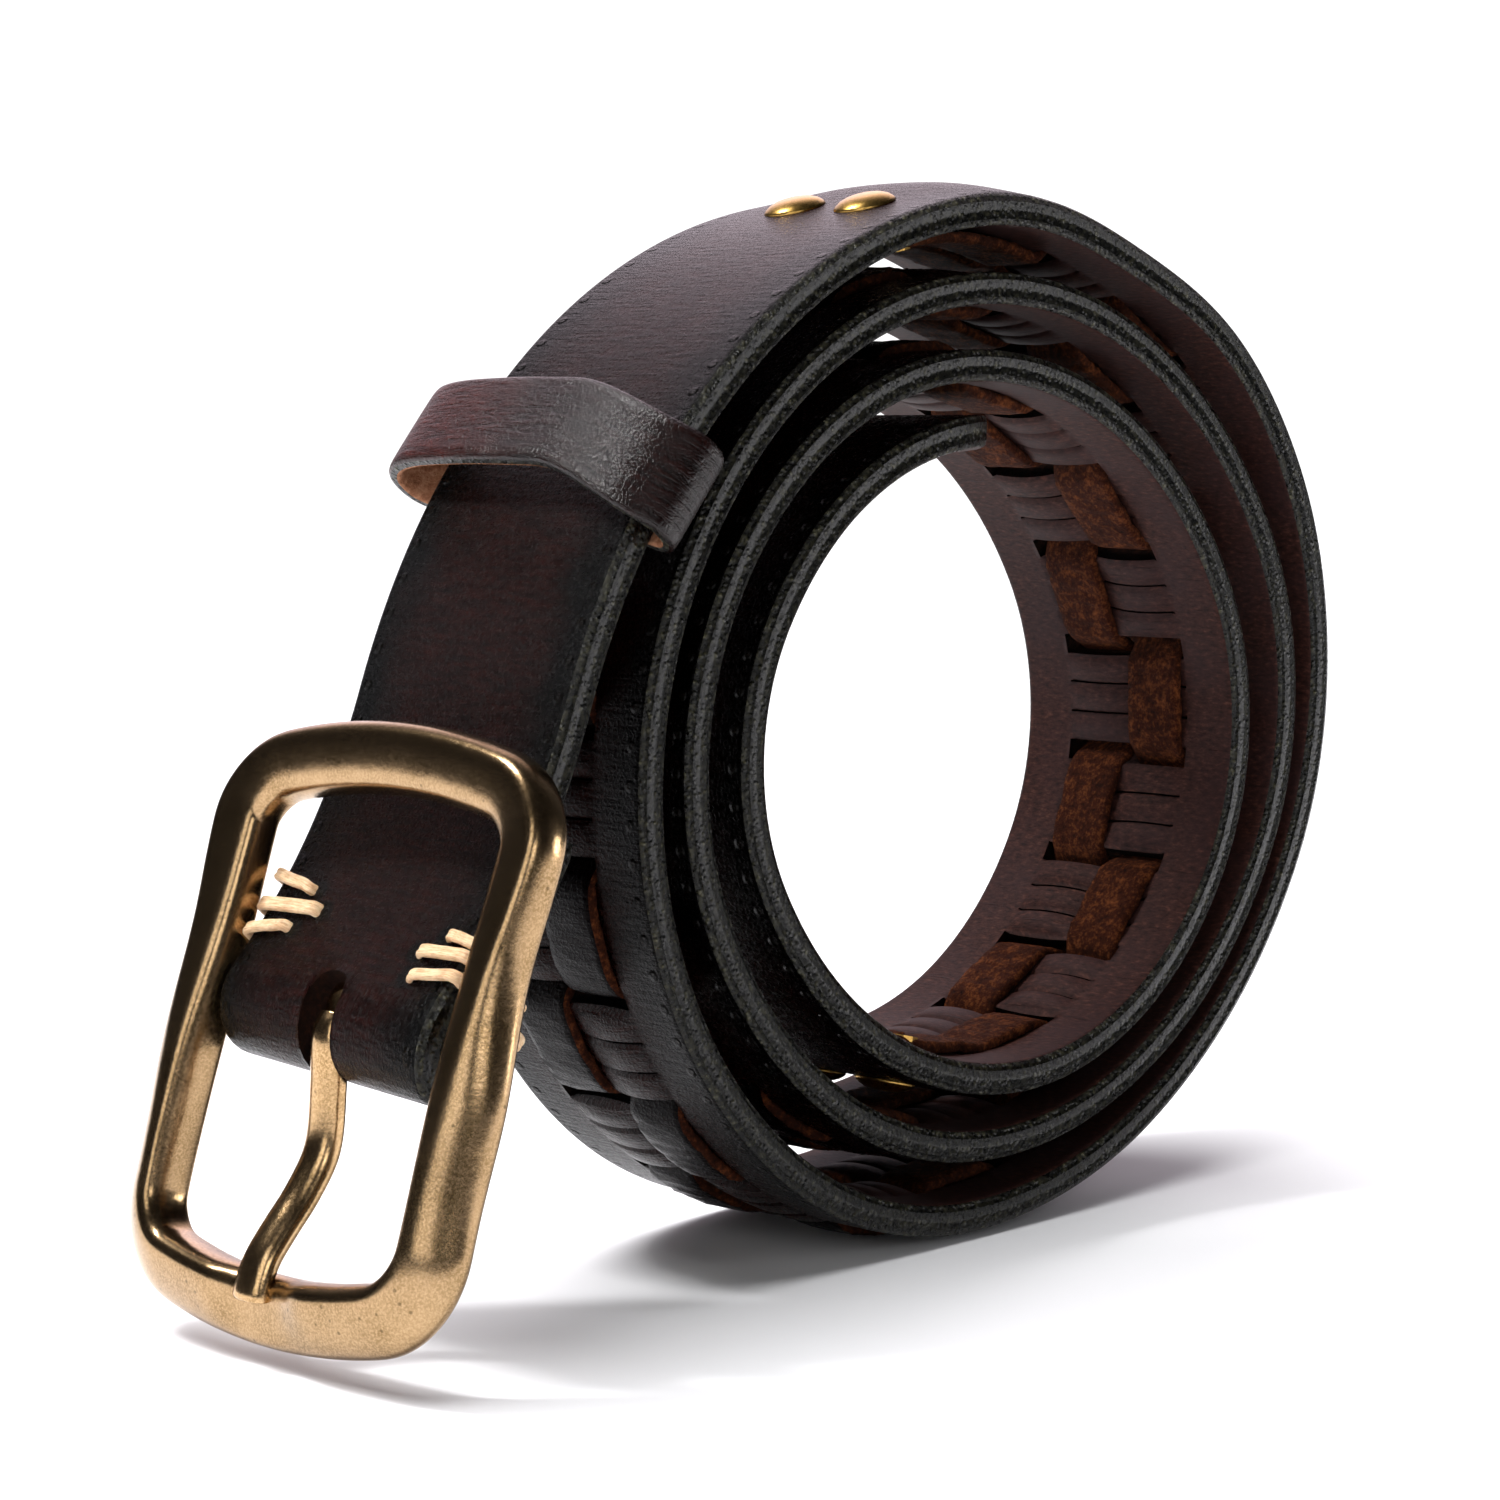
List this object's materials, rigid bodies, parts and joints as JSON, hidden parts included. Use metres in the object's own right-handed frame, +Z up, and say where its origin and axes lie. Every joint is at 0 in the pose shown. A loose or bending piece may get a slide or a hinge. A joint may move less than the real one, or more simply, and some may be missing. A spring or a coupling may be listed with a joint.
{
  "type": "rolled leather belt",
  "caption": "Rolled leather belt with a laced strap, sliding keeper loop, rawhide ties and a centre-bar brass buckle with a pivoting prong.",
  "frame": {"origin": "middle of the whole belt's footprint, on the floor the coil stands on; the buckle's lower end hangs just clear of it", "axes": "+X away from the buckle in the plane of the coil, +Y across the strap's width to its far edge, +Z up"},
  "size_m": [0.1894, 0.0572, 0.1383],
  "materials": {
    "strap_leather": "pebbled dark brown grain, edges burnished near black",
    "lace_suede": "smooth dark grain side, rusty brown suede flesh side",
    "keeper_leather": "glossy dark brown outside, tan inside",
    "rawhide": "pale beige, matt",
    "buckle_brass": "antique brass, fine speckled satin",
    "rivet_brass": "warm brass, polished domes"
  },
  "bodies": {
    "belt": {"strap": "strap_leather", "lace_near": "lace_suede", "lace_far": "lace_suede", "tie_near": "rawhide", "tie_far": "rawhide", "rivet_cap_1": "rivet_brass", "rivet_cap_2": "rivet_brass", "rivet_cap_3": "rivet_brass", "rivet_cap_4": "rivet_brass", "rivet_post_1": "rivet_brass", "rivet_post_2": "rivet_brass", "rivet_post_3": "rivet_brass", "rivet_post_4": "rivet_brass"},
    "buckle": {"buckle_frame": "buckle_brass"},
    "prong": {"buckle_prong": "buckle_brass"},
    "keeper": {"keeper": "keeper_leather"}
  },
  "joints": [
    {"name": "buckle_swing", "type": "hinge", "parent": "belt", "child": "buckle", "pos_m": [-0.07511, 0, 0.03889], "axis": [0, 1, 0], "range_deg": [-50, 2]},
    {"name": "prong_swing", "type": "hinge", "parent": "buckle", "child": "prong", "pos_m": [-0.07511, 0, 0.03889], "axis": [0, 1, 0], "range_deg": [0, 50]},
    {"name": "keeper_slide", "type": "hinge", "parent": "belt", "child": "keeper", "pos_m": [0.03036, 0, 0.04436], "axis": [0, 1, 0], "range_deg": [-10, 10]}
  ]
}
